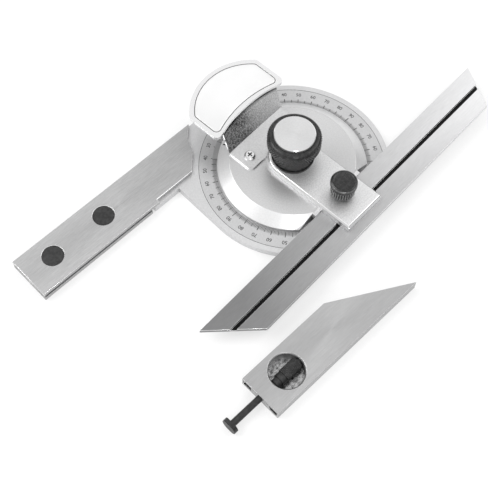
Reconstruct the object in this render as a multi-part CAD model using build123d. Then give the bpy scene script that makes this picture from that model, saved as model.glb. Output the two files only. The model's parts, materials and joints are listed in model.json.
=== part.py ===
"""Universal bevel protractor with a magnifier and a separate acute-angle attachment.

Frame: millimetres, +Z up. The origin is on the turret's axis, in the flat underside.
+X runs from the stock towards the dial, +Y is the side of the stock's measuring edge.
The blade lies at BLADE_ANGLE to the stock, and everything on the turret turns with it.
"""
from build123d import *
import math
import os

# ---- driving dimensions ----
PLATE_R = 48.9           # graduated disc
PLATE_T = 3.8
TAIL_X = -64.5           # where the full-thickness tail ends and the tongue starts
STOCK_END_X = -132.6
STOCK_EDGE_Y = 52.6      # far, measuring edge of the stock
STOCK_W = 23.4
CHEEK_T = 2.2
CHEEK_STEP_X = -61.5     # the top cheek narrows here
CHEEK_STEP = 1.7
CHEEK_END_R = 49.4       # the top cheek ends clear of the graduated disc
LOWER_CHEEK_GAP = 1.5
TONGUE_INSET = 1.5
SLOT_DEPTH = 6.6         # open slot at the stock's end
RIVET_R = 5.3
RIVET_X = (-116.9, -85.9)
RIVET_Y = 42.0

STUD_R = 4.0
STUD_FLANGE_R = 8.9
STUD_FLANGE_T = 1.2
COVER_R = 11.9
COVER_T = 0.7
BUSH_WALL = 2.0

BLADE_ANGLE = 3.13       # degrees, blade to stock
TURRET_R = 37.0
TURRET_FLAT_R = 31.0
TURRET_RIM_Z = 5.4
TURRET_TOP_Z = 10.0
BLADE_L = 200.0
BLADE_W = 21.5
BLADE_T = 2.2
BLADE_Z = 6.85           # underside of the blade
BLADE_IN_Y = -29.1       # inner edge of the blade, from the axis
BLADE_LEFT_X = -95.8
LEFT_END_ANGLE = 45.0
RIGHT_END_ANGLE = 60.0
GROOVE_W = 2.2
GROOVE_D = 1.3
GROOVE_FROM_EDGE = 10.7  # inner edge to the middle of the groove
GUIDE_T = 2.0
GUIDE_W = 33.0
LEDGE_W = 24.0
LEDGE_END_Y = -44.5

VERNIER_IN_R = 33.0
VERNIER_OUT_R = 39.6
VERNIER_T = 1.2
VERNIER_SPAN = 76.0
VERNIER_SCREW_R = 0.9
VERNIER_SCREW_SPAN = 56.0

ARM_W = 24.4
ARM_END_Y = -45.7
ARM_TOP_Z = 13.3
ARM_CHAMFER = 0.8
DOWEL_R = 1.25
DOWEL_X = 8.5
DOWEL_Y = -21.0

KNOB_WAIST_R = 10.0
KNOB_FLANGE_R = 13.1
KNOB_TOP_Z = 31.2
KNOB_FLANGE_Z = 23.6
CAP_R = 10.0
CAP_T = 1.8
CAP_PROUD = 1.2
WASHER_R = 10.6
WASHER_T = 1.2

CLAMP_Y = -31.2
CLAMP_SCREW_R = 2.0
CLAMP_KNOB_TOP_Z = 24.6
CLAMP_KNOB_R = 6.5
CLAMP_KNOB_STEP = 0.6
SHOE_W = 6.0
SHOE_T = 1.6

FOOT_W = 38.0
FOOT_NEAR_Y = 10.0
FOOT_BEND_Y = 25.0
SHEET_T = 1.1
HOOD_W = 48.0
HOOD_SIDE_Y = 46.0
HOOD_FAR_Y = 57.4
HOOD_NEAR_Y = 26.8
HOOD_NEAR_MID_Y = 31.0
HOOD_TOP_Z = 25.0
HOOD_BORDER = 2.2
HOOD_CORNER_R = 2.5
LENS_T = 1.8
FOOT_SCREW = (-13.4, 16.0)
FOOT_CORNER_R = 2.2
WALL_SIDE = 19.0
FOOT_SCREW_R = 1.5
FOOT_SCREW_HEAD_R = 2.75

ATT_T = 6.4
ATT_W = 22.3
ATT_L = 90.6
ATT_LEFT_X = -95.2
ATT_TOP_Y = -63.0
ATT_TAPER = 30.0
WINDOW_R = 8.3
WINDOW_FROM_END = 16.6
WINDOW_CHAMFER = 0.5
BOLT_R = 1.6
BOLT_Z = 3.6             # the bolt lies a little above the middle, clear of the pocket floor
POCKET_FLOOR = 0.4
BOLT_HEAD_R = 3.85
BOLT_HEAD_T = 2.1
BOLT_HEAD_FLAT = 0.1
BOLT_OUT = 19.0
BOLT_PAST_WINDOW = 7.0
NUT_R = 3.15
NUT_L = 9.6
COLLAR_R = 2.9
COLLAR_STEP_R = 2.3
END_SLOT_W = 4.8
END_SLOT_H = 3.6
END_SLOT_D = 4.0

RUN_GAP = 0.05           # radial running clearance and the gap between sliding flats
SHOE_GAP = 0.3
SEAT_GAP = 0.4

# ---- values that follow from them ----
STOCK_T = PLATE_T + CHEEK_T
STOCK_NEAR_Y = STOCK_EDGE_Y - STOCK_W
BLADE_TOP_Z = BLADE_Z + BLADE_T
BLADE_OUT_Y = BLADE_IN_Y - BLADE_W
GROOVE_Y = BLADE_IN_Y - GROOVE_FROM_EDGE
GUIDE_FACE_Y = BLADE_IN_Y + RUN_GAP
TURRET_CUT_Y = GUIDE_FACE_Y + GUIDE_T
TURRET_Z = PLATE_T + RUN_GAP
LEDGE_TOP_Z = BLADE_Z - RUN_GAP
ARM_LIP_Z = BLADE_TOP_Z + RUN_GAP
SHOE_Z = ARM_LIP_Z + SHOE_GAP
POCKET_TOP_Z = SHOE_Z + SHOE_T + 2 * SHOE_GAP
WASHER_Z = ARM_TOP_Z + RUN_GAP
KNOB_Z = WASHER_Z + WASHER_T
ATT_MID_Y = ATT_TOP_Y - ATT_W / 2
WINDOW_X = ATT_LEFT_X + WINDOW_FROM_END

turret_place = Location((0, 0, 0), (0, 0, BLADE_ANGLE))


def slab(points, low, high):
    """Flat plate with a polygon outline between two heights."""
    outline = make_face(Polyline(*points, close=True).edges())
    return Pos(0, 0, low) * extrude(outline, amount=high - low)


def disc(radius, low, high, x=0.0, y=0.0):
    """Upright cylinder between two heights."""
    return Pos(x, y, (low + high) / 2) * Cylinder(radius, high - low)


def rod(radius, left, right, y, z):
    """Cylinder along X."""
    return Pos((left + right) / 2, y, z) * Rot(0, 90, 0) * Cylinder(radius, right - left)


def block(x0, x1, y0, y1, z0, z1):
    """Box between two corners."""
    return Pos((x0 + x1) / 2, (y0 + y1) / 2, (z0 + z1) / 2) * Box(x1 - x0, y1 - y0, z1 - z0)


def turned(profile):
    """Solid of revolution about Z from (radius, height) points."""
    outline = make_face(Polyline(*[(r, 0, z) for r, z in profile], close=True).edges())
    return revolve(outline, Axis.Z)


def chamfered(solid, height, length):
    """Chamfer every edge that lies in the plane at this height."""
    edges = [e for e in solid.edges() if abs(e.bounding_box().min.Z - height) < 1e-4
             and abs(e.bounding_box().max.Z - height) < 1e-4]
    return chamfer(edges, length)


# ---- stock and graduated plate ----
def graduated_plate():
    shoulder = [(TAIL_X, STOCK_NEAR_Y), (-PLATE_R, STOCK_NEAR_Y), (-PLATE_R, 0), (0, 0),
                (0, PLATE_R), (-2 * (STOCK_EDGE_Y - PLATE_R), STOCK_EDGE_Y), (TAIL_X, STOCK_EDGE_Y)]
    plate = disc(PLATE_R, 0, PLATE_T) + slab(shoulder, 0, PLATE_T)
    tongue = block(STOCK_END_X + SLOT_DEPTH, TAIL_X, STOCK_NEAR_Y + TONGUE_INSET,
                   STOCK_EDGE_Y - TONGUE_INSET, CHEEK_T, PLATE_T)
    plate += tongue
    plate -= disc(STUD_R, 0, PLATE_T)
    plate -= disc(STUD_FLANGE_R, 0, COVER_T + STUD_FLANGE_T)
    plate -= disc(COVER_R, 0, COVER_T)
    for x in RIVET_X:
        plate -= disc(RIVET_R, CHEEK_T, PLATE_T, x, RIVET_Y)
    return plate


def top_cheek():
    corner = math.sqrt(CHEEK_END_R ** 2 - (STOCK_NEAR_Y + CHEEK_STEP) ** 2)
    outline = [(STOCK_END_X, STOCK_NEAR_Y), (CHEEK_STEP_X, STOCK_NEAR_Y),
               (CHEEK_STEP_X, STOCK_NEAR_Y + CHEEK_STEP), (-corner, STOCK_NEAR_Y + CHEEK_STEP),
               (-0.62 * CHEEK_END_R, 0.785 * CHEEK_END_R), (-0.54 * CHEEK_END_R, 0.95 * CHEEK_END_R),
               (-0.42 * CHEEK_END_R, STOCK_EDGE_Y), (STOCK_END_X, STOCK_EDGE_Y)]
    cheek = slab(outline, PLATE_T, STOCK_T)
    for x in RIVET_X:
        cheek -= disc(RIVET_R, PLATE_T, STOCK_T, x, RIVET_Y)
    return cheek


def bottom_cheek():
    cheek = block(STOCK_END_X, TAIL_X - LOWER_CHEEK_GAP, STOCK_NEAR_Y, STOCK_EDGE_Y, 0, CHEEK_T)
    for x in RIVET_X:
        cheek -= disc(RIVET_R, 0, CHEEK_T, x, RIVET_Y)
    return cheek


def stock_rivets():
    return [disc(RIVET_R, 0, STOCK_T, x, RIVET_Y) for x in RIVET_X]


def pivot_stud():
    stud = disc(STUD_FLANGE_R, COVER_T, COVER_T + STUD_FLANGE_T)
    return stud + disc(STUD_R, COVER_T, KNOB_TOP_Z - 4.0)


def back_cover():
    return disc(COVER_R, 0, COVER_T)


# ---- turret: drawn with the blade along X, then turned ----
def arc_plate(inner, outer, span, low, high):
    """Flat arc centred on +Y."""
    ring = disc(outer, low, high) - disc(inner, low, high)
    half = math.radians(span / 2)
    reach = 2 * outer
    wedge = slab([(0, 0), (reach * math.sin(half), reach * math.cos(half)),
                  (-reach * math.sin(half), reach * math.cos(half))], low, high)
    return ring & wedge


def vernier_screw_places():
    mid_r = (VERNIER_IN_R + TURRET_R) / 2
    half = math.radians(VERNIER_SCREW_SPAN / 2)
    return [(side * mid_r * math.sin(half), mid_r * math.cos(half)) for side in (-1, 1)]


def turret_disc():
    turret = turned([(0, TURRET_Z), (TURRET_R, TURRET_Z), (TURRET_R, TURRET_RIM_Z),
                     (TURRET_FLAT_R, TURRET_TOP_Z), (0, TURRET_TOP_Z)])
    reach = 2 * TURRET_R
    turret -= block(-reach, reach, -reach, TURRET_CUT_Y, 0, 2 * TURRET_TOP_Z)
    turret += block(-LEDGE_W / 2, LEDGE_W / 2, LEDGE_END_Y, TURRET_CUT_Y, TURRET_Z, LEDGE_TOP_Z)
    turret -= block(-GUIDE_W / 2, GUIDE_W / 2, GUIDE_FACE_Y, TURRET_CUT_Y, LEDGE_TOP_Z, TURRET_TOP_Z)
    turret -= disc(STUD_R + RUN_GAP + BUSH_WALL, TURRET_Z, TURRET_TOP_Z)
    turret -= arc_plate(VERNIER_IN_R, VERNIER_OUT_R, VERNIER_SPAN, TURRET_Z, TURRET_Z + VERNIER_T)
    for x, y in vernier_screw_places():
        turret -= disc(VERNIER_SCREW_R, TURRET_Z, TURRET_Z + 2 * VERNIER_T, x, y)
    turret -= disc(FOOT_SCREW_R, TURRET_TOP_Z - 3, TURRET_TOP_Z, *FOOT_SCREW)
    for side in (-1, 1):
        turret -= disc(DOWEL_R, TURRET_TOP_Z - 3, TURRET_TOP_Z, side * DOWEL_X, DOWEL_Y)
    return turret


def pivot_bush():
    outer = STUD_R + RUN_GAP + BUSH_WALL
    return disc(outer, TURRET_Z, TURRET_TOP_Z) - disc(STUD_R + RUN_GAP, TURRET_Z, TURRET_TOP_Z)


def vernier_plate():
    plate = arc_plate(VERNIER_IN_R, VERNIER_OUT_R, VERNIER_SPAN, TURRET_Z, TURRET_Z + VERNIER_T)
    for x, y in vernier_screw_places():
        plate -= disc(VERNIER_SCREW_R, TURRET_Z, TURRET_Z + VERNIER_T, x, y)
    return plate


def vernier_screws():
    return [disc(VERNIER_SCREW_R, TURRET_Z, TURRET_Z + 2 * VERNIER_T, x, y)
            for x, y in vernier_screw_places()]


def blade_guide():
    return block(-GUIDE_W / 2, GUIDE_W / 2, GUIDE_FACE_Y, TURRET_CUT_Y, LEDGE_TOP_Z, TURRET_TOP_Z)


def clamp_arm():
    arm = disc(ARM_W / 2, TURRET_TOP_Z, ARM_TOP_Z)
    arm += block(-ARM_W / 2, ARM_W / 2, ARM_END_Y, 0, TURRET_TOP_Z, ARM_TOP_Z)
    arm = chamfered(arm, ARM_TOP_Z, ARM_CHAMFER)
    arm += block(-ARM_W / 2, ARM_W / 2, ARM_END_Y, GUIDE_FACE_Y, ARM_LIP_Z, TURRET_TOP_Z)
    arm -= disc(STUD_R + RUN_GAP, TURRET_TOP_Z, ARM_TOP_Z)
    arm -= disc(CLAMP_SCREW_R + RUN_GAP, ARM_LIP_Z, ARM_TOP_Z, 0, CLAMP_Y)
    side = SHOE_W / 2 + RUN_GAP
    arm -= block(-side, side, GROOVE_Y - GROOVE_W, GUIDE_FACE_Y - RUN_GAP, ARM_LIP_Z, POCKET_TOP_Z)
    for way in (-1, 1):
        arm -= disc(DOWEL_R, TURRET_TOP_Z, TURRET_TOP_Z + 2, way * DOWEL_X, DOWEL_Y)
    return arm


def arm_dowels():
    return [disc(DOWEL_R, TURRET_TOP_Z - 3, TURRET_TOP_Z + 2, way * DOWEL_X, DOWEL_Y) for way in (-1, 1)]


def blade():
    shift_left = BLADE_W / math.tan(math.radians(LEFT_END_ANGLE))
    shift_right = BLADE_W / math.tan(math.radians(RIGHT_END_ANGLE))
    right = BLADE_LEFT_X + BLADE_L
    bar = slab([(BLADE_LEFT_X, BLADE_IN_Y), (right, BLADE_IN_Y), (right - shift_right, BLADE_OUT_Y),
                (BLADE_LEFT_X + shift_left, BLADE_OUT_Y)], BLADE_Z, BLADE_TOP_Z)
    return bar - block(2 * BLADE_LEFT_X, 2 * right, GROOVE_Y - GROOVE_W / 2, GROOVE_Y + GROOVE_W / 2,
                       BLADE_TOP_Z - GROOVE_D, BLADE_TOP_Z)


def clamp_shoe():
    side = SHOE_W / 2
    near = GUIDE_FACE_Y - SHOE_GAP
    bar = block(-side, side, GROOVE_Y - GROOVE_W / 2, near, SHOE_Z, SHOE_Z + SHOE_T)
    half = GROOVE_W / 2 - RUN_GAP
    tongue_low = BLADE_TOP_Z - GROOVE_D + SHOE_GAP
    return bar + block(-side, side, GROOVE_Y - half, GROOVE_Y + half, tongue_low, SHOE_Z)


def clamp_screw():
    return disc(CLAMP_SCREW_R, SHOE_Z + SHOE_T, CLAMP_KNOB_TOP_Z - 3, 0, CLAMP_Y)


def clamp_knob():
    low = ARM_TOP_Z + SEAT_GAP
    top = CLAMP_KNOB_TOP_Z
    grip, rim = CLAMP_KNOB_R - CLAMP_KNOB_STEP, CLAMP_KNOB_R
    knob = turned([(0, low), (4.1, low), (4.1, low + 0.4), (grip, low + 2.3), (grip, top - 3.1),
                   (rim, top - 2.7), (rim, top - 0.9), (rim - 1.0, top), (0, top)])
    knob -= disc(CLAMP_SCREW_R, 0, top - 3)
    return Pos(0, CLAMP_Y, 0) * knob


# ---- lock knob ----
def lock_washer():
    return disc(WASHER_R, WASHER_Z, KNOB_Z) - disc(STUD_R + RUN_GAP, WASHER_Z, KNOB_Z)


def lock_knob():
    knob = turned([(0, KNOB_Z), (KNOB_WAIST_R, KNOB_Z), (KNOB_WAIST_R, KNOB_FLANGE_Z - 1.6),
                   (KNOB_FLANGE_R - 0.6, KNOB_FLANGE_Z), (KNOB_FLANGE_R, KNOB_FLANGE_Z + 0.6),
                   (KNOB_FLANGE_R, KNOB_TOP_Z - 1.2), (KNOB_FLANGE_R - 1.2, KNOB_TOP_Z), (0, KNOB_TOP_Z)])
    knob -= disc(STUD_R + RUN_GAP, 0, KNOB_TOP_Z - 3.4)
    return knob - disc(CAP_R, KNOB_TOP_Z + CAP_PROUD - CAP_T, KNOB_TOP_Z)


def lock_knob_cap():
    top = KNOB_TOP_Z + CAP_PROUD
    return chamfered(disc(CAP_R, top - CAP_T, top), top, 0.3)


# ---- magnifier ----
def hood_outline(inset):
    side = HOOD_W / 2 - inset
    near = HOOD_NEAR_Y + inset
    far = HOOD_SIDE_Y - 0.6 * inset
    edges = [Line((-side, near), (-side, far)),
             ThreePointArc((-side, far), (0, HOOD_FAR_Y - inset), (side, far)),
             Line((side, far), (side, near)),
             ThreePointArc((side, near), (0, HOOD_NEAR_MID_Y + inset), (-side, near))]
    outline = make_face(edges)
    return fillet(outline.vertices(), HOOD_CORNER_R)


def magnifier_bracket():
    """Foot on the turret, a wall that leans out and bows to the hood's near edge, and the hood frame."""
    foot_top = TURRET_TOP_Z + SHEET_T
    side = FOOT_W / 2
    foot = slab([(-side, FOOT_NEAR_Y), (side, FOOT_NEAR_Y), (side, FOOT_BEND_Y), (-side, FOOT_BEND_Y)],
                TURRET_TOP_Z, foot_top)
    corners = [e for e in foot.edges().filter_by(Axis.Z) if e.center().Y < FOOT_NEAR_Y + 1]
    foot = fillet(corners, FOOT_CORNER_R)
    foot -= disc(ARM_W / 2 + SEAT_GAP, TURRET_TOP_Z, foot_top)
    foot -= disc(FOOT_SCREW_R, TURRET_TOP_Z, foot_top, *FOOT_SCREW)
    frame_low = HOOD_TOP_Z - LENS_T
    wall_low = make_face(Polyline((-WALL_SIDE, FOOT_BEND_Y - SHEET_T, TURRET_TOP_Z),
                                  (WALL_SIDE, FOOT_BEND_Y - SHEET_T, TURRET_TOP_Z),
                                  (WALL_SIDE, FOOT_BEND_Y, TURRET_TOP_Z),
                                  (-WALL_SIDE, FOOT_BEND_Y, TURRET_TOP_Z), close=True).edges())
    bow = (HOOD_NEAR_MID_Y - HOOD_NEAR_Y) * (WALL_SIDE / (HOOD_W / 2)) ** 2
    end_y = HOOD_NEAR_MID_Y - bow
    wall_high = make_face([
        ThreePointArc((-WALL_SIDE, end_y, frame_low), (0, HOOD_NEAR_MID_Y, frame_low), (WALL_SIDE, end_y, frame_low)),
        Line((WALL_SIDE, end_y, frame_low), (WALL_SIDE, end_y + SHEET_T, frame_low)),
        ThreePointArc((WALL_SIDE, end_y + SHEET_T, frame_low), (0, HOOD_NEAR_MID_Y + SHEET_T, frame_low),
                      (-WALL_SIDE, end_y + SHEET_T, frame_low)),
        Line((-WALL_SIDE, end_y + SHEET_T, frame_low), (-WALL_SIDE, end_y, frame_low))])
    wall = loft([wall_low, wall_high], ruled=True)
    hood = Pos(0, 0, frame_low) * extrude(hood_outline(0), amount=LENS_T)
    hood -= Pos(0, 0, frame_low) * extrude(hood_outline(HOOD_BORDER), amount=LENS_T)
    return foot + wall + hood


def magnifier_lens():
    return Pos(0, 0, HOOD_TOP_Z - LENS_T) * extrude(hood_outline(HOOD_BORDER), amount=LENS_T)


def magnifier_screw():
    foot_top = TURRET_TOP_Z + SHEET_T
    head = turned([(0, foot_top), (FOOT_SCREW_HEAD_R, foot_top), (FOOT_SCREW_HEAD_R, foot_top + 0.7),
                   (FOOT_SCREW_HEAD_R - 0.8, foot_top + 1.4), (0, foot_top + 1.5)])
    head -= Pos(0, 0, foot_top + 1.2) * Box(2.8, 0.7, 1.2)
    head -= Pos(0, 0, foot_top + 1.2) * Box(0.7, 2.8, 1.2)
    return disc(FOOT_SCREW_R, TURRET_TOP_Z - 3, foot_top, *FOOT_SCREW) + Pos(*FOOT_SCREW, 0) * head


# ---- acute-angle attachment ----
def attachment_body():
    shift = ATT_W / math.tan(math.radians(ATT_TAPER))
    right = ATT_LEFT_X + ATT_L
    low_y = ATT_TOP_Y - ATT_W
    body = slab([(ATT_LEFT_X, ATT_TOP_Y), (right - shift, ATT_TOP_Y), (right, low_y), (ATT_LEFT_X, low_y)],
                0, ATT_T)
    body -= disc(WINDOW_R, POCKET_FLOOR, ATT_T, WINDOW_X, ATT_MID_Y)
    rim = Pos(WINDOW_X, ATT_MID_Y, ATT_T - WINDOW_CHAMFER / 2) * Cone(
        WINDOW_R, WINDOW_R + WINDOW_CHAMFER, WINDOW_CHAMFER)
    body -= rim
    body -= rod(BOLT_R + RUN_GAP, ATT_LEFT_X, WINDOW_X + WINDOW_R + BOLT_PAST_WINDOW + 2,
                ATT_MID_Y, BOLT_Z)
    for way in (-1, 1):
        middle = ATT_MID_Y + way * (ATT_W / 2 - 0.7 - END_SLOT_W / 2)
        body -= block(ATT_LEFT_X, ATT_LEFT_X + END_SLOT_D, middle - END_SLOT_W / 2,
                      middle + END_SLOT_W / 2, (ATT_T - END_SLOT_H) / 2, (ATT_T + END_SLOT_H) / 2)
    return body


def attachment_t_bolt():
    head_left = ATT_LEFT_X - BOLT_OUT
    bolt = rod(BOLT_R, head_left + BOLT_HEAD_T, WINDOW_X + WINDOW_R + BOLT_PAST_WINDOW, ATT_MID_Y, BOLT_Z)
    head = rod(BOLT_HEAD_R, head_left, head_left + BOLT_HEAD_T, ATT_MID_Y, BOLT_Z)
    flats = block(head_left, head_left + BOLT_HEAD_T, ATT_MID_Y - BOLT_HEAD_R, ATT_MID_Y + BOLT_HEAD_R,
                  BOLT_HEAD_FLAT, ATT_T + BOLT_HEAD_FLAT)
    return bolt + (head & flats)


def nut_span():
    right = WINDOW_X + math.sqrt(WINDOW_R ** 2 - NUT_R ** 2) - SEAT_GAP
    return right - NUT_L, right


def attachment_thumb_nut():
    left, right = nut_span()
    nut = rod(NUT_R, left, right, ATT_MID_Y, BOLT_Z)
    return nut - rod(BOLT_R + RUN_GAP, left, right, ATT_MID_Y, BOLT_Z)


def attachment_collar():
    right = nut_span()[0]
    left = WINDOW_X - math.sqrt(WINDOW_R ** 2 - COLLAR_STEP_R ** 2) + SEAT_GAP
    step = (left + right) / 2
    collar = rod(COLLAR_R, step, right, ATT_MID_Y, BOLT_Z)
    collar += rod(COLLAR_STEP_R, left, step, ATT_MID_Y, BOLT_Z)
    return collar - rod(BOLT_R + RUN_GAP, left, right, ATT_MID_Y, BOLT_Z)


FIXED = (graduated_plate, top_cheek, bottom_cheek, stock_rivets, pivot_stud, back_cover,
         lock_washer, lock_knob, lock_knob_cap,
         attachment_body, attachment_t_bolt, attachment_thumb_nut, attachment_collar)
TURNED = (turret_disc, pivot_bush, vernier_plate, vernier_screws, blade_guide, clamp_arm, arm_dowels,
          blade, clamp_shoe, clamp_screw, clamp_knob, magnifier_bracket, magnifier_lens, magnifier_screw)

parts = {maker.__name__: (maker(), Location()) for maker in FIXED}
parts.update({maker.__name__: (maker(), turret_place) for maker in TURNED})

os.makedirs("parts", exist_ok=True)
for name, (shape, place) in parts.items():
    if isinstance(shape, list):
        shape = Compound(children=[place * piece for piece in shape])
    else:
        shape = place * shape
    export_step(shape, f"parts/{name}.step")
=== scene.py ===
"""Looks of a universal bevel protractor: satin and chromed steel, black knurled knobs, lens and scale."""
import json
import math

import bmesh
import bpy
from mathutils import Matrix, Vector


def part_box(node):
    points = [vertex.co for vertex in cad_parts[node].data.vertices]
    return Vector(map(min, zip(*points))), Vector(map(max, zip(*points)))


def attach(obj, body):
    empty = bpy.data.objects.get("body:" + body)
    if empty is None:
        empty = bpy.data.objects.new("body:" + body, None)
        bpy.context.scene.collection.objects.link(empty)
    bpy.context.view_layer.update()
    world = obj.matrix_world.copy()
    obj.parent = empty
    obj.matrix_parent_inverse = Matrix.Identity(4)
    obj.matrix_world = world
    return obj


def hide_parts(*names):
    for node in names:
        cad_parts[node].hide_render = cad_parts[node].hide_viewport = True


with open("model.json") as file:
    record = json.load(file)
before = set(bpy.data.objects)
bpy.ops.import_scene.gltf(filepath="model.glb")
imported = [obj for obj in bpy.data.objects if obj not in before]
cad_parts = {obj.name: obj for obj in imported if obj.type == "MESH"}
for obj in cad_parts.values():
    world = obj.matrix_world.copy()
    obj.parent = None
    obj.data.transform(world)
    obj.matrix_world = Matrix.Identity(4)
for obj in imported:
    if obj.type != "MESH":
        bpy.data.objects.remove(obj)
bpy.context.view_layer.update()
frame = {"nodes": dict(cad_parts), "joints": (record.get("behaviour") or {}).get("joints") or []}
nodes = frame["nodes"]
MM = 0.001

# ---- the tool's own sizes, from the frame ----
joints = {joint["name"]: joint for joint in frame["joints"]}
along = joints["blade_slide"]["axis"]
BLADE_TURN = math.atan2(along[1], along[0])
TURRET_PLACE = Matrix.Rotation(BLADE_TURN, 4, "Z")


def low(node):
    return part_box(node)[0]


def high(node):
    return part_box(node)[1]


def middle(node):
    return (low(node) + high(node)) / 2


PLATE_TOP = high("graduated_plate").z
TURRET_RADIUS = high("turret_disc").x
TURRET_TOP = high("turret_disc").z
SCALE_LIFT = 0.012 * MM          # engraving sits this far above the satin face


# ---- node helpers ----
def new_material(name):
    material = bpy.data.materials.new(name)
    material.use_nodes = True
    tree = material.node_tree
    tree.nodes.clear()
    output = tree.nodes.new("ShaderNodeOutputMaterial")
    shader = tree.nodes.new("ShaderNodeBsdfPrincipled")
    tree.links.new(shader.outputs["BSDF"], output.inputs["Surface"])
    return material, tree, shader


def spot(tree, turn=0.0, stretch=(1, 1, 1), centre=(0, 0, 0)):
    """Object coordinates, moved to a centre, turned about Z and stretched."""
    coordinates = tree.nodes.new("ShaderNodeTexCoord")
    centred = tree.nodes.new("ShaderNodeMapping")
    centred.vector_type = "POINT"
    centred.inputs["Location"].default_value = [-value for value in centre]
    turned = tree.nodes.new("ShaderNodeMapping")
    turned.inputs["Rotation"].default_value = (0, 0, -turn)
    scaled = tree.nodes.new("ShaderNodeMapping")
    scaled.inputs["Scale"].default_value = stretch
    tree.links.new(coordinates.outputs["Object"], centred.inputs["Vector"])
    tree.links.new(centred.outputs["Vector"], turned.inputs["Vector"])
    tree.links.new(turned.outputs["Vector"], scaled.inputs["Vector"])
    return scaled.outputs["Vector"]


def noise(tree, vector, scale, detail=3.0, rough=0.55):
    texture = tree.nodes.new("ShaderNodeTexNoise")
    texture.inputs["Scale"].default_value = scale
    texture.inputs["Detail"].default_value = detail
    texture.inputs["Roughness"].default_value = rough
    tree.links.new(vector, texture.inputs["Vector"])
    return texture.outputs["Fac"]


def span(tree, value, low_out, high_out, low_in=0.3, high_in=0.7):
    """Remap a grey value to a range."""
    remap = tree.nodes.new("ShaderNodeMapRange")
    remap.inputs["From Min"].default_value = low_in
    remap.inputs["From Max"].default_value = high_in
    remap.inputs["To Min"].default_value = low_out
    remap.inputs["To Max"].default_value = high_out
    tree.links.new(value, remap.inputs["Value"])
    return remap.outputs["Result"]


def blend_colours(tree, factor, first, second, kind="MIX"):
    mix = tree.nodes.new("ShaderNodeMix")
    mix.data_type = "RGBA"
    mix.blend_type = kind
    if isinstance(factor, float):
        mix.inputs["Factor"].default_value = factor
    else:
        tree.links.new(factor, mix.inputs["Factor"])
    for socket, colour in ((mix.inputs["A"], first), (mix.inputs["B"], second)):
        if isinstance(colour, tuple):
            socket.default_value = (*colour, 1)
        else:
            tree.links.new(colour, socket)
    return mix.outputs["Result"]


def bump(tree, shader, height, strength, distance):
    node = tree.nodes.new("ShaderNodeBump")
    node.inputs["Strength"].default_value = strength
    node.inputs["Distance"].default_value = distance
    tree.links.new(height, node.inputs["Height"])
    tree.links.new(node.outputs["Normal"], shader.inputs["Normal"])


def grey(value):
    return (value, value, value * 1.004)


# ---- finishes ----
def ground_steel(name, dark, light, turn=0.0, rough=0.38, grain=1.0, shade_span=None, shade=None):
    """Steel ground in long strokes along X, turned; an optional painted shading runs from one grey to
    another along X.
    """
    material, tree, shader = new_material(name)
    fine = noise(tree, spot(tree, turn, (30, 900, 900)), 6.0, 5.0, 0.7)
    broad = noise(tree, spot(tree, turn, (9, 160, 160)), 3.0, 3.0)
    colour = blend_colours(tree, span(tree, fine, 0.0, 1.0), grey(dark), grey(light))
    # painted shading: the colour is multiplied by a grey ramp along X, darker at one end, standing in for
    # how light falls
    if shade:
        position = tree.nodes.new("ShaderNodeSeparateXYZ")
        tree.links.new(spot(tree, turn), position.inputs["Vector"])
        run = span(tree, position.outputs["X"], 0.0, 1.0, *shade_span)
        painted_shading = blend_colours(tree, run, grey(shade[0]), grey(shade[1]))
        colour = blend_colours(tree, 1.0, colour, painted_shading, "MULTIPLY")
    tree.links.new(colour, shader.inputs["Base Color"])
    tree.links.new(span(tree, broad, rough - 0.05, rough + 0.07), shader.inputs["Roughness"])
    shader.inputs["Metallic"].default_value = 0.85
    shader.inputs["Anisotropic"].default_value = 0.4
    bump(tree, shader, fine, 0.25 * grain, 0.00003)
    return material


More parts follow.
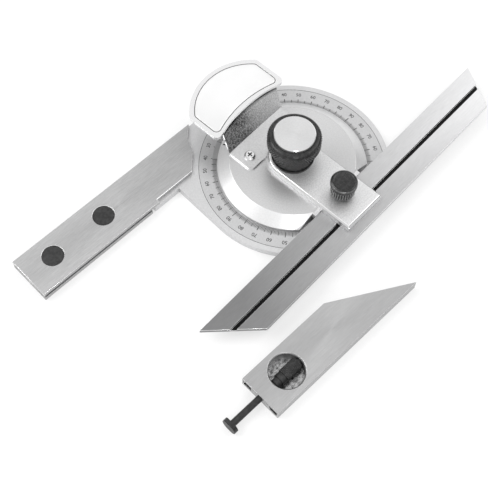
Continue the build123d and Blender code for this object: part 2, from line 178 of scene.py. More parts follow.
def turned_steel(name, dark, light, centre=(0, 0, 0), rough=0.36, painted_sheen_depth=0.25, bands=None):
    """Satin steel turned on a lathe: fine rings, with soft bright and dark sectors of painted sheen.

    bands lists (radius, share of the light) pairs multiplied into the colour; on the dial they paint shade
    in a darker ring round the turret and make it lighter in a band at the rim.
    """
    material, tree, shader = new_material(name)
    vector = spot(tree, 0.0, (1, 1, 0), centre)
    length = tree.nodes.new("ShaderNodeVectorMath")
    length.operation = "LENGTH"
    tree.links.new(vector, length.inputs[0])
    ring_place = tree.nodes.new("ShaderNodeCombineXYZ")
    tree.links.new(length.outputs["Value"], ring_place.inputs["X"])
    rings = noise(tree, ring_place.outputs["Vector"], 2600.0, 4.0, 0.7)
    grain = noise(tree, spot(tree), 1500.0, 2.0)
    position = tree.nodes.new("ShaderNodeSeparateXYZ")
    tree.links.new(vector, position.inputs["Vector"])
    # painted sheen: the colour is multiplied by bright and dark sectors round the centre, as a turned face
    # catches light
    angle = tree.nodes.new("ShaderNodeMath")
    angle.operation = "ARCTAN2"
    tree.links.new(position.outputs["Y"], angle.inputs[0])
    tree.links.new(position.outputs["X"], angle.inputs[1])
    doubled = tree.nodes.new("ShaderNodeMath")
    doubled.operation = "MULTIPLY_ADD"
    doubled.inputs[1].default_value = 2.0
    doubled.inputs[2].default_value = 0.9
    tree.links.new(angle.outputs["Value"], doubled.inputs[0])
    wave = tree.nodes.new("ShaderNodeMath")
    wave.operation = "SINE"
    tree.links.new(doubled.outputs["Value"], wave.inputs[0])
    sectors = span(tree, wave.outputs["Value"], 1.0 - painted_sheen_depth, 1.0, -1.0, 1.0)
    painted_sheen_grey = tree.nodes.new("ShaderNodeCombineXYZ")
    for axis in ("X", "Y", "Z"):
        tree.links.new(sectors, painted_sheen_grey.inputs[axis])
    speck = blend_colours(tree, 0.5, rings, grain)
    colour = blend_colours(tree, span(tree, speck, 0.0, 1.0), grey(dark), grey(light))
    colour = blend_colours(tree, 1.0, colour, painted_sheen_grey.outputs["Vector"], "MULTIPLY")
    # bands: painted shade by radius, multiplied into the colour
    if bands:
        reach = bands[-1][0]
        share = tree.nodes.new("ShaderNodeMath")
        share.operation = "DIVIDE"
        share.inputs[1].default_value = reach
        tree.links.new(length.outputs["Value"], share.inputs[0])
        ramp = tree.nodes.new("ShaderNodeValToRGB")
        elements = ramp.color_ramp.elements
        elements[0].position, elements[0].color = 0.0, (*grey(bands[0][1]), 1)
        elements[1].position, elements[1].color = 1.0, (*grey(bands[-1][1]), 1)
        for radius, value in bands[1:-1]:
            element = elements.new(radius / reach)
            element.color = (*grey(value), 1)
        tree.links.new(share.outputs["Value"], ramp.inputs["Fac"])
        colour = blend_colours(tree, 1.0, colour, ramp.outputs["Color"], "MULTIPLY")
    tree.links.new(colour, shader.inputs["Base Color"])
    tree.links.new(span(tree, rings, rough - 0.04, rough + 0.06), shader.inputs["Roughness"])
    shader.inputs["Metallic"].default_value = 0.85
    bump(tree, shader, rings, 0.2, 0.00002)
    return material


def frosted_chrome(name, dark, light, rough=0.42, size=1100.0):
    """Bead-blasted chrome: a fine even sparkle of dimples."""
    material, tree, shader = new_material(name)
    beads = noise(tree, spot(tree), size, 3.0, 0.75)
    cloud = noise(tree, spot(tree), 60.0, 2.0)
    colour = blend_colours(tree, span(tree, beads, 0.0, 1.0), grey(dark), grey(light))
    colour = blend_colours(tree, span(tree, cloud, 0.0, 0.25), colour, grey(light))
    tree.links.new(colour, shader.inputs["Base Color"])
    tree.links.new(span(tree, beads, rough - 0.08, rough + 0.1), shader.inputs["Roughness"])
    shader.inputs["Metallic"].default_value = 0.85
    bump(tree, shader, beads, 0.45, 0.00006)
    return material


def bright_chrome(name, value=0.82, rough=0.07):
    """Polished chrome with faint wipe marks."""
    material, tree, shader = new_material(name)
    wipes = noise(tree, spot(tree, 0.5, (40, 400, 400)), 4.0, 4.0)
    shader.inputs["Base Color"].default_value = (*grey(value), 1)
    shader.inputs["Metallic"].default_value = 1.0
    tree.links.new(span(tree, wipes, rough - 0.03, rough + 0.06), shader.inputs["Roughness"])
    bump(tree, shader, wipes, 0.05, 0.00001)
    return material


def black_oxide(name, value=0.02, rough=0.34, worn=0.1, metallic=0.5):
    """Blackened steel, slightly mottled, with a greyer bloom where hands rub it."""
    material, tree, shader = new_material(name)
    mottle = noise(tree, spot(tree), 700.0, 4.0)
    cloud = noise(tree, spot(tree), 120.0, 2.0)
    colour = blend_colours(tree, span(tree, mottle, 0.0, 1.0), grey(value * 0.7), grey(value * 1.6))
    colour = blend_colours(tree, span(tree, cloud, 0.0, worn, 0.5, 0.7), colour, grey(0.2))
    tree.links.new(colour, shader.inputs["Base Color"])
    tree.links.new(span(tree, mottle, rough - 0.06, rough + 0.12), shader.inputs["Roughness"])
    shader.inputs["Metallic"].default_value = metallic
    bump(tree, shader, mottle, 0.15, 0.00002)
    return material


def clear_lens(name):
    """Pale magnifying glass: its colour is mostly a painted white sheen, a little see-through."""
    material, tree, shader = new_material(name)
    sheen_and_roughness_haze = noise(tree, spot(tree), 25.0, 2.0)
    # painted sheen: pale grey blotches in the base colour
    colour = blend_colours(tree, span(tree, sheen_and_roughness_haze, 0.0, 1.0), (0.70, 0.70, 0.70), (0.84, 0.84, 0.84))
    tree.links.new(colour, shader.inputs["Base Color"])
    tree.links.new(span(tree, sheen_and_roughness_haze, 0.04, 0.08), shader.inputs["Roughness"])
    shader.inputs["Transmission Weight"].default_value = 0.12
    shader.inputs["IOR"].default_value = 1.5
    shader.inputs["Coat Weight"].default_value = 1.0
    shader.inputs["Coat Roughness"].default_value = 0.03
    return material


def engraving(name, value=0.03):
    """Black paint wiped into the engraved scale, thinner in places."""
    material, tree, shader = new_material(name)
    thin = noise(tree, spot(tree), 900.0, 3.0)
    colour = blend_colours(tree, span(tree, thin, 0.0, 1.0), grey(value), grey(value * 3.5))
    tree.links.new(colour, shader.inputs["Base Color"])
    shader.inputs["Roughness"].default_value = 0.9
    shader.inputs["Specular IOR Level"].default_value = 0.1
    return material


def mottled_chrome(name, dark=0.1, light=0.6, size=1300.0, heights=None, run=None):
    """Chrome whose colour is a painted reflection of dark knurls in fine blotches.

    heights is where the painted reflection darkens upwards, run where it brightens in the blade's direction.
    """
    material, tree, shader = new_material(name)
    blotches = noise(tree, spot(tree, BLADE_TURN, (1, 1.6, 0.5)), size, 4.0, 0.7)
    colour = blend_colours(tree, span(tree, blotches, 0.0, 1.0, 0.38, 0.62), grey(dark), grey(light))
    # painted reflection: lighter along the blade's direction, darker towards the top
    if heights:
        position = tree.nodes.new("ShaderNodeSeparateXYZ")
        tree.links.new(spot(tree, BLADE_TURN), position.inputs["Vector"])
        painted_brightening = span(tree, position.outputs["X"], 0.0, 0.85, *run)
        colour = blend_colours(tree, painted_brightening, colour, grey(0.85))
        rise = span(tree, position.outputs["Z"], 0.0, 1.0, *heights)
        colour = blend_colours(tree, rise, colour, grey(dark * 0.4))
    tree.links.new(colour, shader.inputs["Base Color"])
    tree.links.new(span(tree, blotches, 0.15, 0.35), shader.inputs["Roughness"])
    shader.inputs["Metallic"].default_value = 0.9
    return material


stock_finish = ground_steel("stock_steel", 0.34, 0.50, 0.0, 0.4, 1.3)
# the blade carries painted shading: darker towards one end, lighter towards the other
blade_finish = ground_steel("blade_steel", 0.66, 0.86, BLADE_TURN, 0.36, 1.0, (-0.07, 0.10), (0.30, 1.0))
attachment_finish = ground_steel("attachment_steel", 0.36, 0.46, 0.0, 0.42, 0.7)
# painted shade: the dial is darker in a ring just round the turret, and lighter in a band at the rim
DIAL_SHADE_AND_RIM_BANDS = ((0.0, 0.66), (TURRET_RADIUS + 2.4 * MM, 0.66), (TURRET_RADIUS + 2.7 * MM, 0.88),
              (high("graduated_plate").x - 2.9 * MM, 0.88), (high("graduated_plate").x - 2.6 * MM, 1.0),
              (0.15, 1.0))
dial_finish = turned_steel("dial_steel", 0.58, 0.72, painted_sheen_depth=0.10, bands=DIAL_SHADE_AND_RIM_BANDS)
turret_finish = turned_steel("turret_chrome", 0.56, 0.72, painted_sheen_depth=0.16)
bevel_finish = turned_steel("turret_bevel", 0.78, 0.9, rough=0.3, painted_sheen_depth=0.08)
arm_finish = frosted_chrome("arm_chrome", 0.52, 0.84, size=1500.0)
edge_finish = bright_chrome("polished_edge", 0.93, 0.12)
rim_finish = bright_chrome("worn_edge", 0.85, 0.25)
foot_finish = bright_chrome("bright_chrome", 0.86)
knob_finish = black_oxide("knob_black", 0.03, 0.24, 0.06, 0.6)
# the wall's colour is painted reflection
wall_finish = mottled_chrome("mirror_wall", 0.10, 0.55, 1300.0, (0.0215, 0.0235), (-0.004, 0.016))
foot_top_finish = frosted_chrome("foot_satin", 0.5, 0.68, 0.35, 1300.0)
# lighter knurl crests: partly wear, partly a painted highlight
crest_highlight_and_wear = black_oxide("knurl_crest_highlight_and_wear", 0.16, 0.3, 0.3, 0.9)
# the pocket floor's colour is painted reflection in blotches
pocket_finish = mottled_chrome("pocket_floor", 0.10, 0.55, 450.0)
rivet_finish = black_oxide("rivet_black", 0.028, 0.4, 0.05)
cap_finish = turned_steel("cap_silver", 0.62, 0.72, rough=0.4, painted_sheen_depth=0.06)
lens_finish = clear_lens("lens_clear")
screw_finish = bright_chrome("screw_steel", 0.8, 0.15)
plain_finish = turned_steel("plain_steel", 0.3, 0.42)
bush_material, bush_tree, bush_shader = new_material("bush_bronze")
bush_tree.links.new(
    blend_colours(bush_tree, noise(bush_tree, spot(bush_tree), 900.0), (0.42, 0.27, 0.12), (0.6, 0.42, 0.2)),
    bush_shader.inputs["Base Color"])
bush_shader.inputs["Metallic"].default_value = 1.0
bush_shader.inputs["Roughness"].default_value = 0.35
# black ink for the scale, also used as painted shade in the magnifier screw's slot
ink_and_slot_shade = engraving("ink_and_slot_shade")
# near-black, used on the blade's groove floor, the lens border and a side face of the dial plate
near_black = engraving("groove_black", 0.004)

NODE_FINISH = {
    "graduated_plate": dial_finish, "top_cheek": stock_finish, "bottom_cheek": stock_finish,
    "stock_rivets": rivet_finish, "pivot_stud": plain_finish, "back_cover": plain_finish,
    "turret_disc": turret_finish, "pivot_bush": bush_material, "vernier_plate": dial_finish,
    "vernier_screws": screw_finish, "blade_guide": arm_finish, "clamp_arm": arm_finish,
    "arm_dowels": plain_finish, "magnifier_bracket": foot_finish, "magnifier_lens": lens_finish,
    "magnifier_screw": screw_finish, "blade": blade_finish, "clamp_shoe": plain_finish,
    "clamp_screw": knob_finish, "clamp_knob": knob_finish, "lock_washer": knob_finish,
    "lock_knob": knob_finish, "lock_knob_cap": cap_finish, "attachment_body": attachment_finish,
    "attachment_t_bolt": rivet_finish, "attachment_thumb_nut": knob_finish,
    "attachment_collar": rivet_finish,
}
for node_name, finish in NODE_FINISH.items():
    mesh = nodes[node_name].data
    mesh.materials.clear()
    mesh.materials.append(finish)


def face_finish(mesh, finish, wanted):
    """A second finish on the faces that a test picks."""
    mesh.materials.append(finish)
    index = len(mesh.materials) - 1
    for polygon in mesh.polygons:
        if wanted(polygon):
            polygon.material_index = index
    return index


def sloping(polygon):
    return 0.3 < polygon.normal.z < 0.95


face_finish(nodes["lock_knob_cap"].data, edge_finish, sloping)
# painted shade: a side face at the dial plate's low-X edge is coloured near-black
face_finish(nodes["graduated_plate"].data, near_black,
            lambda p: p.normal.x < -0.9 and p.center.x < low("graduated_plate").x + 1 * MM)
# painted shade: the floor of the magnifier screw's slot is coloured black
face_finish(nodes["magnifier_screw"].data, ink_and_slot_shade,
            lambda p: p.normal.z > 0.9 and high("magnifier_screw").z - 1.2 * MM < p.center.z
            < high("magnifier_screw").z - 0.5 * MM and p.area < 4 * MM * MM)
plate_rim = high("graduated_plate").x


# ---- mesh helpers ----
def finish_piece(name, mesh_data, material, body, smooth=True):
    piece = bpy.data.objects.new(name, mesh_data)
    bpy.context.scene.collection.objects.link(piece)
    mesh_data.materials.append(material)
    for polygon in mesh_data.polygons:
        polygon.use_smooth = smooth
    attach(piece, body)
    return piece


def mesh_from(work, name):
    bmesh.ops.remove_doubles(work, verts=work.verts, dist=1e-7)
    bmesh.ops.recalc_face_normals(work, faces=work.faces)
    data = bpy.data.meshes.new(name)
    work.to_mesh(data)
    work.free()
    return data


def spun(profile, steps, shape=None):
    """Profile of (radius, height) in mm spun about Z; shape(angle, height) gives a radial change."""
    work = bmesh.new()
    verts = [work.verts.new((radius * MM, 0, height * MM)) for radius, height in profile]
    edges = [work.edges.new(pair) for pair in zip(verts, verts[1:])]
    bmesh.ops.spin(work, geom=verts + edges, cent=(0, 0, 0), axis=(0, 0, 1), angle=2 * math.pi,
                   steps=steps, use_merge=True, use_duplicate=False)
    bmesh.ops.remove_doubles(work, verts=work.verts, dist=1e-7)
    if shape:
        for vert in work.verts:
            radius = math.hypot(vert.co.x, vert.co.y)
            if radius > 1e-6:
                change = shape(math.atan2(vert.co.y, vert.co.x), vert.co.z / MM, radius / MM) * MM
                vert.co.x *= (radius + change) / radius
                vert.co.y *= (radius + change) / radius
    return work


def refine(profile, longest):
    """Adds points on long straight stretches so that a knurl has something to shape."""
    points = [profile[0]]
    for start, end in zip(profile, profile[1:]):
        length = math.dist(start, end)
        count = max(1, math.ceil(length / longest))
        for step in range(1, count + 1):
            share = step / count
            points.append((start[0] + (end[0] - start[0]) * share, start[1] + (end[1] - start[1]) * share))
    return points


def knurl(low_z, high_z, teeth, depth, least_radius, slant=0.0, fade=0.5):
    """Radial cuts between two heights: straight with no slant, diamond with one."""
    def shape(angle, height, radius):
        if not low_z < height < high_z or radius < least_radius:
            return 0.0
        edge = min(1.0, (height - low_z) / fade, (high_z - height) / fade)
        first = abs(math.sin(teeth * angle / 2 + slant * height))
        if slant:
            second = abs(math.sin(teeth * angle / 2 - slant * height))
            first = min(first, second)
        return -depth * edge * (1.0 - first) ** 2
    return shape


# ---- plain pieces, with their edges eased ----
def eased(node, finish, body, width, steps=2, second=None, wanted=None, edge=None):
    """A copy of a piece with its sharp edges rounded over, so that they catch the light."""
    work = bmesh.new()
    work.from_mesh(nodes[node].data)
    bmesh.ops.remove_doubles(work, verts=work.verts, dist=2e-6)
    bmesh.ops.dissolve_limit(work, angle_limit=math.radians(1.5), verts=work.verts, edges=work.edges)
    for face in work.faces:
        face.material_index = 0
    data = bpy.data.meshes.new(node + "_eased")
    work.to_mesh(data)
    work.free()
    piece = finish_piece(node + "_eased", data, finish, body)
    if second:
        face_finish(data, second, wanted)
    data.set_sharp_from_angle(angle=math.radians(32))
    modifier = piece.modifiers.new("edges", "BEVEL")
    modifier.limit_method = "ANGLE"
    modifier.angle_limit = math.radians(34)
    modifier.width = width * MM
    modifier.segments = steps
    modifier.harden_normals = False
    if edge:
        data.materials.append(edge)
        modifier.material = len(data.materials) - 1
    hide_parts(node)
    return piece


def make_eased_pieces():
    groove_floor = high("blade").z - 0.5 * MM
    eased("top_cheek", stock_finish, "base", 0.22, edge=rim_finish)
    eased("bottom_cheek", stock_finish, "base", 0.22)
    eased("turret_disc", turret_finish, "turret", 0.12, 1, bevel_finish, sloping)
    eased("clamp_arm", arm_finish, "turret", 0.22, 2, edge_finish, sloping, edge_finish)
    # the blade's groove floor is coloured near-black
    eased("blade", blade_finish, "blade", 0.12, 2, near_black,
          lambda p: p.normal.z > 0.9 and p.center.z < groove_floor, rim_finish)
    eased("attachment_body", attachment_finish, "attachment", 0.2, 2, pocket_finish,
          lambda p: p.normal.z > 0.9 and p.center.z < high("attachment_body").z - 1 * MM, rim_finish)
    eased("magnifier_bracket", foot_finish, "turret", 0.3, 2, foot_top_finish,
          lambda p: p.normal.z > 0.9 and p.center.z < TURRET_TOP + 2 * MM)


WALL_HALF = 19.0            # half the wall's width, mm, in the turret's own directions
WALL_BEND_Y = 23.9          # where it rises from the foot
HOOD_NEAR_MIDDLE_Y = 31.0   # the hood's near edge, bowed between its middle and its sides
HOOD_NEAR_SIDE_Y = 26.8
HOOD_HALF = 24.0
SHEET = 1.1
HOOD_DEPTH = 1.8
FACE_GAP = 0.06             # the polished face lies this far in front of the sheet
FACE_THICKNESS = 0.05


def wall_point(x, share, forward):
    """A point of the wall in mm: share runs from the foot's top to the hood's underside."""
    rise = high("magnifier_bracket").z / MM - HOOD_DEPTH - TURRET_TOP / MM - SHEET
    bow = (HOOD_NEAR_MIDDLE_Y - HOOD_NEAR_SIDE_Y) * (x / HOOD_HALF) ** 2
    lean = (SHEET + rise * share) / (rise + SHEET)
    y = WALL_BEND_Y + (HOOD_NEAR_MIDDLE_Y - bow - WALL_BEND_Y) * lean - FACE_GAP - forward
    return Vector((x, y, TURRET_TOP / MM + SHEET + rise * share)) * MM


def make_wall_face():
    """The bowed wall's polished front, as one smooth sheet from the foot's bend to the hood's near edge."""
    across, upwards = 28, 10
    work = bmesh.new()
    back, front = ([[work.verts.new(wall_point(-WALL_HALF + 2 * WALL_HALF * column / across,
                                               row / upwards, forward))
                     for column in range(across + 1)] for row in range(upwards + 1)]
                   for forward in (0.0, FACE_THICKNESS))
    for rows, order in ((front, 1), (back, -1)):
        for row in range(upwards):
            for column in range(across):
                corners = [rows[row][column], rows[row][column + 1], rows[row + 1][column + 1],
                           rows[row + 1][column]]
                work.faces.new(corners[::order])
    rim = ([(0, column) for column in range(across + 1)] + [(row, across) for row in range(1, upwards + 1)]
           + [(upwards, column) for column in range(across - 1, -1, -1)]
           + [(row, 0) for row in range(upwards - 1, 0, -1)])
    for (row, column), (next_row, next_column) in zip(rim, rim[1:] + rim[:1]):
        work.faces.new([front[row][column], back[row][column], back[next_row][next_column],
                        front[next_row][next_column]])
    bmesh.ops.transform(work, matrix=TURRET_PLACE, verts=work.verts)
    data = mesh_from(work, "magnifier_wall_face")
    finish_piece("magnifier_wall_face", data, wall_finish, "turret")
    data.set_sharp_from_angle(angle=math.radians(40))


# ---- lens: a shallow dome inside a thin near-black border ----
def make_lens():
    top = high("magnifier_lens").z
    work = bmesh.new()
    work.from_mesh(nodes["magnifier_lens"].data)
    bmesh.ops.remove_doubles(work, verts=work.verts, dist=2e-6)
    bmesh.ops.dissolve_limit(work, angle_limit=math.radians(1.5), verts=work.verts, edges=work.edges)
    for face in work.faces:
        face.material_index = 0
    upper = [face for face in work.faces
             if face.normal.z > 0.9 and face.calc_center_median().z > top - 0.1 * MM]
    dark_border = bmesh.ops.inset_region(work, faces=upper, thickness=0.35 * MM, use_even_offset=True)["faces"]
    for face in dark_border:
        face.material_index = 1
    for thickness, depth in ((0.4, 0.2), (0.9, 0.16)):
        bmesh.ops.inset_region(work, faces=upper, thickness=thickness * MM, depth=depth * MM,
                               use_even_offset=True)
    data = bpy.data.meshes.new("lens_domed")
    work.to_mesh(data)
    work.free()
    piece = finish_piece("lens_domed", data, lens_finish, "turret")
    data.materials.append(near_black)
    data.set_sharp_from_angle(angle=math.radians(40))
    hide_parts("magnifier_lens")


# ---- lock knob ----
def make_lock_knob():
    base, top = low("lock_knob").z / MM, high("lock_knob").z / MM
    rim = high("lock_knob").x / MM
    recess_r = high("lock_knob_cap").x / MM
    recess_z = low("lock_knob_cap").z / MM
    waist = recess_r
    neck = base + 7.4
    bore = high("pivot_bush").y / MM - 2.0
    profile = [(bore, base), (waist - 0.5, base), (waist, base + 0.5), (waist, neck),
               (waist + 1.2, neck + 0.5), (rim - 0.7, neck + 1.8), (rim, neck + 2.6), (rim, top - 1.9),
               (rim - 0.5, top - 0.8),
               (rim - 1.3, top - 0.15), (recess_r + 0.9, top), (recess_r + 0.05, top - 0.3),
               (recess_r + 0.05, recess_z)]
    cuts = knurl(base + 0.4, neck - 0.2, 48, 0.7, waist - 0.3, 1.7)
    flange_cuts = knurl(neck + 2.4, top - 1.3, 64, 0.6, rim - 0.9, 1.5)
    work = spun(refine(profile, 0.3), 432, lambda a, z, r: cuts(a, z, r) + flange_cuts(a, z, r))
    piece = finish_piece("lock_knob_knurled", mesh_from(work, "lock_knob_knurled"), knob_finish, "lock")
    crests = ((waist - 0.12, base + 0.6, neck - 0.4), (rim - 0.1, neck + 2.8, top - 2.0))
    # the knurl crests get the lighter finish: wear and a painted highlight
    face_finish(piece.data, crest_highlight_and_wear, lambda p: any(
        math.hypot(p.center.x, p.center.y) > radius * MM and low_z * MM < p.center.z < high_z * MM
        and math.hypot(p.center.x, p.center.y) < (radius + 0.6) * MM for radius, low_z, high_z in crests))
    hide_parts("lock_knob")


def make_clamp_knob():
    place = middle("clamp_knob")
    base, top = low("clamp_knob").z / MM, high("clamp_knob").z / MM
    rim = (high("clamp_knob").x - low("clamp_knob").x) / 2 / MM
    grip = rim - 0.6
    profile = [(0.0, base), (3.7, base), (4.1, base + 0.4), (grip - 0.7, base + 1.7), (grip, base + 2.3),
               (grip, top - 3.1), (rim - 0.2, top - 2.9), (rim, top - 2.6), (rim, top - 1.0),
               (rim - 0.5, top - 0.4), (rim - 1.3, top), (rim - 1.7, top - 0.25), (0.0, top - 0.25)]
    cuts = knurl(base + 1.6, top - 3.1, 30, 0.75, grip - 0.9, 0.0)
    rim_cuts = knurl(top - 2.7, top - 0.9, 60, 0.3, rim - 0.4, 0.0, 0.3)
    work = spun(refine(profile, 0.35), 360, lambda a, z, r: cuts(a, z, r) + rim_cuts(a, z, r))
    bmesh.ops.translate(work, verts=work.verts, vec=(place.x, place.y, 0))
    piece = finish_piece("clamp_knob_ribbed", mesh_from(work, "clamp_knob_ribbed"), knob_finish, "clamp")
    # the rib crests and upper rim get the lighter finish: wear and a painted highlight
    face_finish(piece.data, crest_highlight_and_wear, lambda p: abs(p.normal.z) < 0.8
                and math.hypot(p.center.x - place.x, p.center.y - place.y) > (grip - 0.12) * MM
                and (p.center.z < (top - 3.2) * MM or p.center.z > (top - 1.1) * MM))
    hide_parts("clamp_knob", "clamp_screw")


def make_thumb_nut():
    start, end = low("attachment_thumb_nut"), high("attachment_thumb_nut")
    place = middle("attachment_thumb_nut")
    length = (end.x - start.x) / MM
    rim = (end.z - start.z) / 2 / MM
    bore = 1.65
    profile = [(bore, 0.0), (rim - 0.5, 0.0), (rim, 0.5), (rim, length - 0.5), (rim - 0.5, length),
               (bore, length), (bore, 0.0)]
    cuts = knurl(0.3, length - 0.3, 30, 0.3, rim - 0.3, 1.9, 0.3)
    work = spun(refine(profile, 0.22), 240, cuts)
    matrix = Matrix.Translation((start.x, place.y, place.z)) @ Matrix.Rotation(math.pi / 2, 4, "Y")
    bmesh.ops.transform(work, matrix=matrix, verts=work.verts)
    piece = finish_piece("thumb_nut_knurled", mesh_from(work, "thumb_nut_knurled"), knob_finish, "thumb_nut")
    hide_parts("attachment_thumb_nut")


make_eased_pieces()
make_wall_face()
make_lens()
make_lock_knob()
make_clamp_knob()
make_thumb_nut()


# ---- graduations ----
def add_bar(work, angle, inner, outer, width, height):
    """One radial line of the scale, as a thin closed bar."""
    made = bmesh.ops.create_cube(work, size=1.0)["verts"]
    matrix = (Matrix.Rotation(angle, 4, "Z") @ Matrix.Translation(((inner + outer) / 2, 0, height))
              @ Matrix.Diagonal((outer - inner, width, SCALE_LIFT * 2, 1)))
    bmesh.ops.transform(work, matrix=matrix, verts=made)


def add_ring(work, radius, width, height, start=0.0, sweep=2 * math.pi, steps=240):
    """An engraved circle or arc as a flat closed band."""
    inner, outer = radius - width / 2, radius + width / 2
    corners = [(inner, height - SCALE_LIFT), (outer, height - SCALE_LIFT), (outer, height + SCALE_LIFT),
               (inner, height + SCALE_LIFT)]
    verts = [work.verts.new((r * math.cos(start), r * math.sin(start), z)) for r, z in corners]
    edges = [work.edges.new((verts[i], verts[(i + 1) % 4])) for i in range(4)]
    full = abs(sweep - 2 * math.pi) < 1e-6
    bmesh.ops.spin(work, geom=verts + edges, cent=(0, 0, 0), axis=(0, 0, 1), angle=sweep, steps=steps,
                   use_merge=full, use_duplicate=False)


TICK_IN = TURRET_RADIUS + 0.45 * MM
TICK_OUT = TURRET_RADIUS + 2.0 * MM
RING_RADIUS = plate_rim - 2.8 * MM
FIGURE_RADIUS = plate_rim - 5.9 * MM
FIGURE_HEIGHT = 2.0 * MM
LINE = 0.24 * MM


def make_dial_lines():
    work = bmesh.new()
    for degree in range(360):
        longer = 1.25 * MM if degree % 10 == 0 else 0.75 * MM if degree % 5 == 0 else 0.0
        if degree % 90 == 0:
            longer = 1.9 * MM
        width = LINE * (1.6 if degree % 10 == 0 else 1.35 if degree % 5 == 0 else 0.8)
        add_bar(work, math.radians(degree), TICK_IN, TICK_OUT + longer, width, PLATE_TOP)
    add_ring(work, RING_RADIUS, 0.22 * MM, PLATE_TOP)
    data = mesh_from(work, "dial_lines")
    finish_piece("dial_lines", data, ink_and_slot_shade, "base", smooth=False)


def add_figures(data_list, text, size, matrix):
    """Figures as text turned into a mesh, placed by a matrix."""
    curve = bpy.data.curves.new("figure", "FONT")
    curve.body = text
    curve.size = size
    curve.align_x = "CENTER"
    curve.align_y = "CENTER"
    curve.extrude = SCALE_LIFT
    curve.offset = 0.03 * MM
    curve.resolution_u = 3
    holder = bpy.data.objects.new("figure", curve)
    bpy.context.scene.collection.objects.link(holder)
    bpy.context.view_layer.update()
    data = bpy.data.meshes.new_from_object(holder)
    data.transform(matrix)
    bpy.data.objects.remove(holder)
    bpy.data.curves.remove(curve)
    data_list.append(data)


def join_figures(name, data_list, body):
    work = bmesh.new()
    for data in data_list:
        work.from_mesh(data)
        bpy.data.meshes.remove(data)
    finish_piece(name, mesh_from(work, name), ink_and_slot_shade, body, smooth=False)


def upright(angle, radius, height):
    """Figures with their tops outwards at an angle on the dial."""
    return (Matrix.Rotation(angle, 4, "Z") @ Matrix.Translation((radius, 0, height))
            @ Matrix.Rotation(-math.pi / 2, 4, "Z"))


def make_dial_figures():
    figures = []
    for degree in range(0, 360, 10):
        reading = abs(90 - degree % 180)
        add_figures(figures, str(reading), FIGURE_HEIGHT * 1.35,
                    upright(math.radians(degree), FIGURE_RADIUS, PLATE_TOP))
    join_figures("dial_figures", figures, "base")


def make_vernier_scale():
    """Twelve divisions each side of zero, over 23 degrees, on the vernier plate under the lens."""
    work = bmesh.new()
    step = math.radians(23 / 12)
    centre = math.pi / 2 + BLADE_TURN
    height = high("vernier_plate").z
    outer = TURRET_RADIUS + 2.5 * MM
    for count in range(-12, 13):
        longer = 0.7 * MM if count % 3 == 0 else 0.0
        add_bar(work, centre + count * step, outer - 1.3 * MM - longer, outer, LINE, height)
    finish_piece("vernier_lines", mesh_from(work, "vernier_lines"), ink_and_slot_shade, "turret",
                 smooth=False)


def make_index_marks():
    """Small black arrows on the turret's bevel, square to the blade."""
    bevel_slope = math.atan2(4.6, 6.0)
    flat = Matrix.Rotation(bevel_slope, 4, "Y") @ Matrix.Rotation(-math.pi / 2, 4, "Z")
    place = Matrix.Translation((TURRET_RADIUS - 1.6 * MM, 0, TURRET_TOP - 3.55 * MM))
    work = bmesh.new()
    for turn in (math.pi / 2, -math.pi / 2 - 0.5):
        made = bmesh.ops.create_cone(work, cap_ends=True, segments=3, radius1=0.9 * MM, radius2=0.9 * MM,
                                     depth=SCALE_LIFT * 2)["verts"]
        matrix = Matrix.Rotation(BLADE_TURN + turn, 4, "Z") @ place @ flat
        bmesh.ops.transform(work, matrix=matrix, verts=made)
    finish_piece("index_marks", mesh_from(work, "index_marks"), ink_and_slot_shade, "turret",
                 smooth=False)


make_dial_lines()
make_dial_figures()
make_vernier_scale()
make_index_marks()


# ---- floor, light and camera ----
def make_floor():
    bpy.ops.mesh.primitive_plane_add(size=6.0, location=(0, 0, -0.0002))
    floor = bpy.context.object
    floor.name = "floor"
    material = bpy.data.materials.new("floor_white")
    material.use_nodes = True
    tree = material.node_tree
    tree.nodes.clear()
    output = tree.nodes.new("ShaderNodeOutputMaterial")
    matte = tree.nodes.new("ShaderNodeBsdfDiffuse")
    matte.inputs["Color"].default_value = (0.9, 0.9, 0.9, 1)
    glow = tree.nodes.new("ShaderNodeEmission")
    glow.inputs["Color"].default_value = (1, 1, 1, 1)
    glow.inputs["Strength"].default_value = 1.0
    path = tree.nodes.new("ShaderNodeLightPath")
    seen = tree.nodes.new("ShaderNodeMath")
    seen.operation = "MAXIMUM"
    tree.links.new(path.outputs["Is Camera Ray"], seen.inputs[0])
    tree.links.new(path.outputs["Is Glossy Ray"], seen.inputs[1])
    also = tree.nodes.new("ShaderNodeMath")
    also.operation = "MAXIMUM"
    tree.links.new(seen.outputs[0], also.inputs[0])
    tree.links.new(path.outputs["Is Transmission Ray"], also.inputs[1])
    share = tree.nodes.new("ShaderNodeMath")
    share.operation = "MULTIPLY"
    share.inputs[1].default_value = 0.55
    tree.links.new(also.outputs[0], share.inputs[0])
    mix = tree.nodes.new("ShaderNodeMixShader")
    tree.links.new(share.outputs[0], mix.inputs["Fac"])
    tree.links.new(matte.outputs[0], mix.inputs[1])
    tree.links.new(glow.outputs[0], mix.inputs[2])
    tree.links.new(mix.outputs[0], output.inputs["Surface"])
    floor.data.materials.append(material)


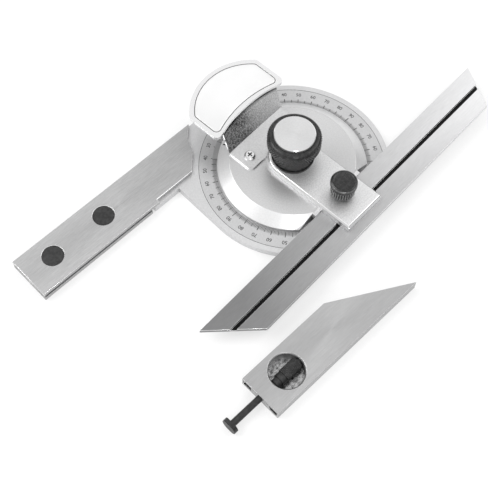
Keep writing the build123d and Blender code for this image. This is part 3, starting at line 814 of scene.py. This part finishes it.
def make_world():
    world = bpy.data.worlds.new("studio")
    bpy.context.scene.world = world
    world.use_nodes = True
    tree = world.node_tree
    tree.nodes.clear()
    output = tree.nodes.new("ShaderNodeOutputWorld")
    background = tree.nodes.new("ShaderNodeBackground")
    background.inputs["Color"].default_value = (1, 1, 1, 1)
    coordinates = tree.nodes.new("ShaderNodeTexCoord")
    direction = tree.nodes.new("ShaderNodeSeparateXYZ")
    tree.links.new(coordinates.outputs["Generated"], direction.inputs["Vector"])
    sky = span(tree, direction.outputs["Z"], 0.3, 1.0, 0.0, 0.75)
    tree.links.new(sky, background.inputs["Strength"])
    tree.links.new(background.outputs[0], output.inputs["Surface"])


def area_light(name, place, target, size, power):
    data = bpy.data.lights.new(name, "AREA")
    data.shape = "DISK"
    data.size = size
    data.energy = power
    light = bpy.data.objects.new(name, data)
    bpy.context.scene.collection.objects.link(light)
    light.location = place
    light.rotation_euler = (Vector(target) - Vector(place)).to_track_quat("-Z", "Y").to_euler()


def make_camera():
    """Looks down from the stock's near side, turned so that the stock runs up to the right."""
    azimuth, elevation, roll = (math.radians(value) for value in (-44.83, 62.41, 0.80))
    distance = 0.46693
    target = Vector((-0.04452, -0.01189, 0))
    back = Vector((math.cos(elevation) * math.sin(azimuth), -math.cos(elevation) * math.cos(azimuth),
                   math.sin(elevation)))
    right = Vector((math.cos(azimuth), math.sin(azimuth), 0))
    up = back.cross(right)
    turned_right = right * math.cos(roll) + up * math.sin(roll)
    turned_up = up * math.cos(roll) - right * math.sin(roll)
    matrix = Matrix((turned_right, turned_up, back)).transposed().to_4x4()
    matrix.translation = target + back * distance
    data = bpy.data.cameras.new("camera")
    data.sensor_width = 36.0
    data.lens = 71.87
    data.clip_start = 0.01
    camera = bpy.data.objects.new("camera", data)
    bpy.context.scene.collection.objects.link(camera)
    camera.matrix_world = matrix
    bpy.context.scene.camera = camera


make_floor()
make_world()
area_light("key", (-0.5, 0.5, 0.8), (0, 0, 0), 0.7, 4.5)
area_light("fill", (0.6, -0.3, 0.7), (0, 0, 0), 0.8, 2.0)
area_light("spark", (-0.35, -0.45, 0.35), (0, 0, 0.02), 0.12, 0.6)
make_camera()
bpy.context.scene.view_settings.view_transform = "Standard"
